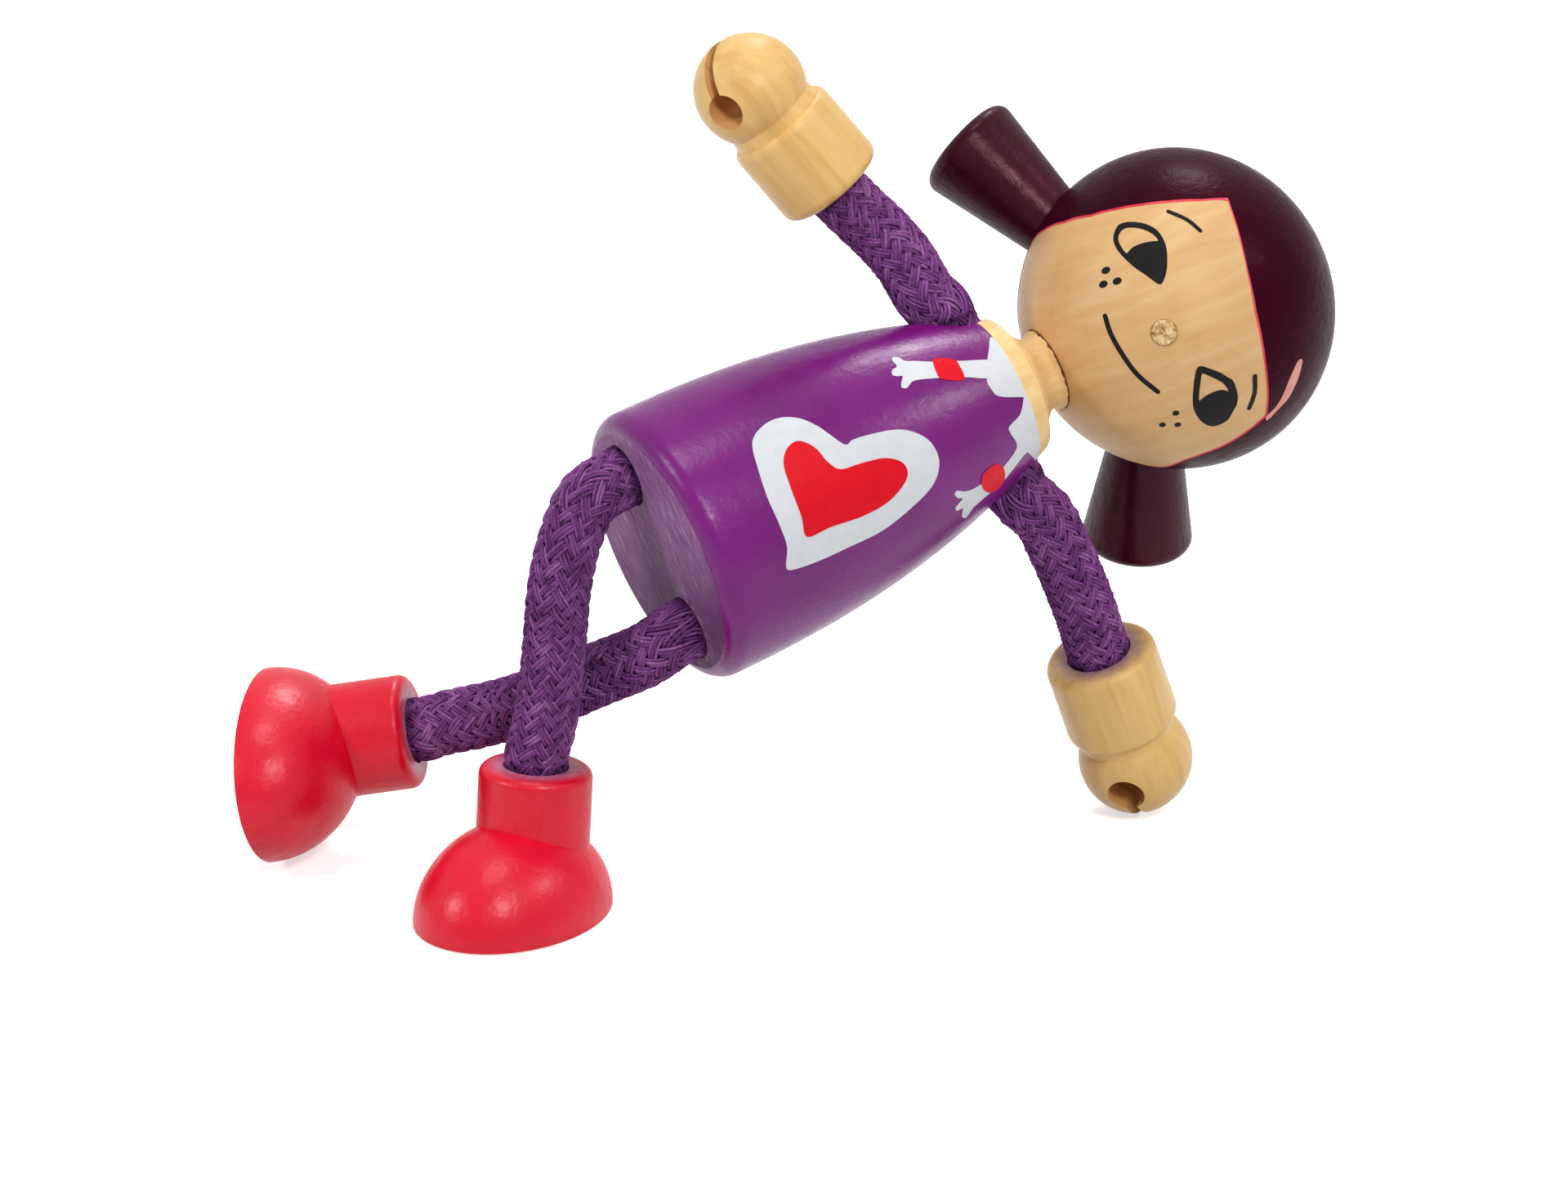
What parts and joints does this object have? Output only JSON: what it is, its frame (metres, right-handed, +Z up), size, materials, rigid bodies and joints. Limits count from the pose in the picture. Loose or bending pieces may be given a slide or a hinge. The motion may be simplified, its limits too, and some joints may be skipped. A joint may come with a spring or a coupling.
{
  "type": "bendy wooden doll",
  "caption": "Turned wooden girl doll with a ball head, cone pigtails, bendy braided cord limbs, clip hands and red boots, held in a side plank.",
  "frame": {"origin": "centre of the bounding box at floor height, in the pictured side plank", "axes": "+Z up, +X from the boots towards the head, -Y towards the picture's camera"},
  "size_m": [0.05, 0.0274, 0.0376],
  "materials": {
    "torso_paint": "violet stain under gloss varnish, bare cream neck, streaky stained sole",
    "head_wood": "pale maple, satin varnish, with painted hair and a printed face",
    "peg_wood": "turned dowel, end grain, satin",
    "hair_paint": "aubergine stained wood, satin",
    "honey_wood": "honey varnished wood, gloss",
    "boot_paint": "red paint, satin gloss",
    "cord": "braided purple cotton, matt",
    "wire": "soft bare wire, satin"
  },
  "bodies": {
    "torso": {"torso": "torso_paint", "head": "head_wood", "neck_peg": "peg_wood", "nose_peg": "peg_wood", "right_pigtail": "hair_paint", "right_pigtail_peg": "peg_wood", "right_arm_shoulder_cord": "cord", "right_arm_shoulder_wire": "wire", "right_leg_hip_cord": "cord", "right_leg_hip_wire": "wire", "left_pigtail": "hair_paint", "left_pigtail_peg": "peg_wood", "left_arm_shoulder_cord": "cord", "left_arm_shoulder_wire": "wire", "left_leg_hip_cord": "cord", "left_leg_hip_wire": "wire", "arms_inner_cord": "cord", "arms_inner_wire": "wire"},
    "right_upper_arm": {"right_arm_upper_cord": "cord", "right_arm_upper_wire": "wire"},
    "right_forearm": {"right_arm_elbow_cord": "cord", "right_arm_elbow_wire": "wire"},
    "right_hand": {"right_arm_wrist_cord": "cord", "right_arm_wrist_wire": "wire", "right_hand": "honey_wood"},
    "right_hip": {"right_leg_groin_cord": "cord", "right_leg_groin_wire": "wire"},
    "right_thigh": {"right_leg_thigh_cord": "cord", "right_leg_thigh_wire": "wire", "right_leg_knee_cord": "cord", "right_leg_knee_wire": "wire"},
    "right_boot": {"right_leg_shin_cord": "cord", "right_leg_shin_wire": "wire", "right_boot": "boot_paint"},
    "left_upper_arm": {"left_arm_upper_cord": "cord", "left_arm_upper_wire": "wire"},
    "left_forearm": {"left_arm_elbow_cord": "cord", "left_arm_elbow_wire": "wire"},
    "left_hand": {"left_arm_wrist_cord": "cord", "left_arm_wrist_wire": "wire", "left_hand": "honey_wood"},
    "left_hip": {"left_leg_groin_cord": "cord", "left_leg_groin_wire": "wire"},
    "left_thigh": {"left_leg_thigh_cord": "cord", "left_leg_thigh_wire": "wire", "left_leg_knee_cord": "cord", "left_leg_knee_wire": "wire"},
    "left_boot": {"left_leg_shin_cord": "cord", "left_leg_shin_wire": "wire", "left_boot": "boot_paint"}
  },
  "joints": [
    {"name": "right_shoulder_raise", "type": "hinge", "parent": "torso", "child": "right_upper_arm", "pos_m": [0.00642, 0.0029, 0.02541], "axis": [0.2735, -0.8405, 0.4678], "range_deg": [-30, 40], "deforming": ["right_arm_shoulder_cord", "right_arm_shoulder_wire"]},
    {"name": "right_shoulder_swing", "type": "hinge", "parent": "right_upper_arm", "child": "right_forearm", "pos_m": [0.0048, 0.00355, 0.02771], "axis": [0.6887, 0.5054, 0.5199], "range_deg": [-55, 55], "deforming": ["right_arm_upper_cord", "right_arm_upper_wire"]},
    {"name": "right_elbow_bend", "type": "hinge", "parent": "right_forearm", "child": "right_hand", "pos_m": [0.00289, 0.0038, 0.02961], "axis": [0.6283, 0.5109, 0.5867], "range_deg": [-60, 60], "deforming": ["right_arm_elbow_cord", "right_arm_elbow_wire"]},
    {"name": "right_hip_splay", "type": "hinge", "parent": "torso", "child": "right_hip", "pos_m": [-0.00841, -0.00589, 0.01948], "axis": [0.4041, -0.8187, 0.408], "range_deg": [-50, 0], "deforming": ["right_leg_hip_cord", "right_leg_hip_wire"]},
    {"name": "right_hip_swing", "type": "hinge", "parent": "right_hip", "child": "right_thigh", "pos_m": [-0.00979, -0.00696, 0.01718], "axis": [-0.9222, -0.2304, 0.3105], "range_deg": [0, 50], "deforming": ["right_leg_groin_cord", "right_leg_groin_wire"]},
    {"name": "right_knee_bend", "type": "hinge", "parent": "right_thigh", "child": "right_boot", "pos_m": [-0.01046, -0.00692, 0.01185], "axis": [-0.9374, -0.3393, 0.0785], "range_deg": [-10, 75], "deforming": ["right_leg_knee_cord", "right_leg_knee_wire"]},
    {"name": "left_shoulder_raise", "type": "hinge", "parent": "torso", "child": "left_upper_arm", "pos_m": [0.01117, 0.00067, 0.01612], "axis": [0.4684, -0.8418, 0.2683], "range_deg": [-55, 10], "deforming": ["left_arm_shoulder_cord", "left_arm_shoulder_wire"]},
    {"name": "left_shoulder_swing", "type": "hinge", "parent": "left_upper_arm", "child": "left_forearm", "pos_m": [0.01255, 0.00108, 0.01365], "axis": [-0.7804, -0.4859, -0.3934], "range_deg": [-55, 55], "deforming": ["left_arm_upper_cord", "left_arm_upper_wire"]},
    {"name": "left_elbow_bend", "type": "hinge", "parent": "left_forearm", "child": "left_hand", "pos_m": [0.01346, 0.00157, 0.01115], "axis": [-0.7948, -0.4812, -0.3698], "range_deg": [-60, 60], "deforming": ["left_arm_elbow_cord", "left_arm_elbow_wire"]},
    {"name": "left_hip_splay", "type": "hinge", "parent": "torso", "child": "left_hip", "pos_m": [-0.00545, -0.00694, 0.01245], "axis": [-0.2908, -0.9259, -0.2412], "range_deg": [-30, 30], "deforming": ["left_leg_hip_cord", "left_leg_hip_wire"]},
    {"name": "left_hip_swing", "type": "hinge", "parent": "left_hip", "child": "left_thigh", "pos_m": [-0.00748, -0.00553, 0.01075], "axis": [-0.4705, 0.194, 0.8608], "range_deg": [-50, 10], "deforming": ["left_leg_groin_cord", "left_leg_groin_wire"]},
    {"name": "left_knee_bend", "type": "hinge", "parent": "left_thigh", "child": "left_boot", "pos_m": [-0.01117, -0.00272, 0.008], "axis": [-0.4696, 0.1945, 0.8612], "range_deg": [-70, 55], "deforming": ["left_leg_knee_cord", "left_leg_knee_wire"]}
  ]
}
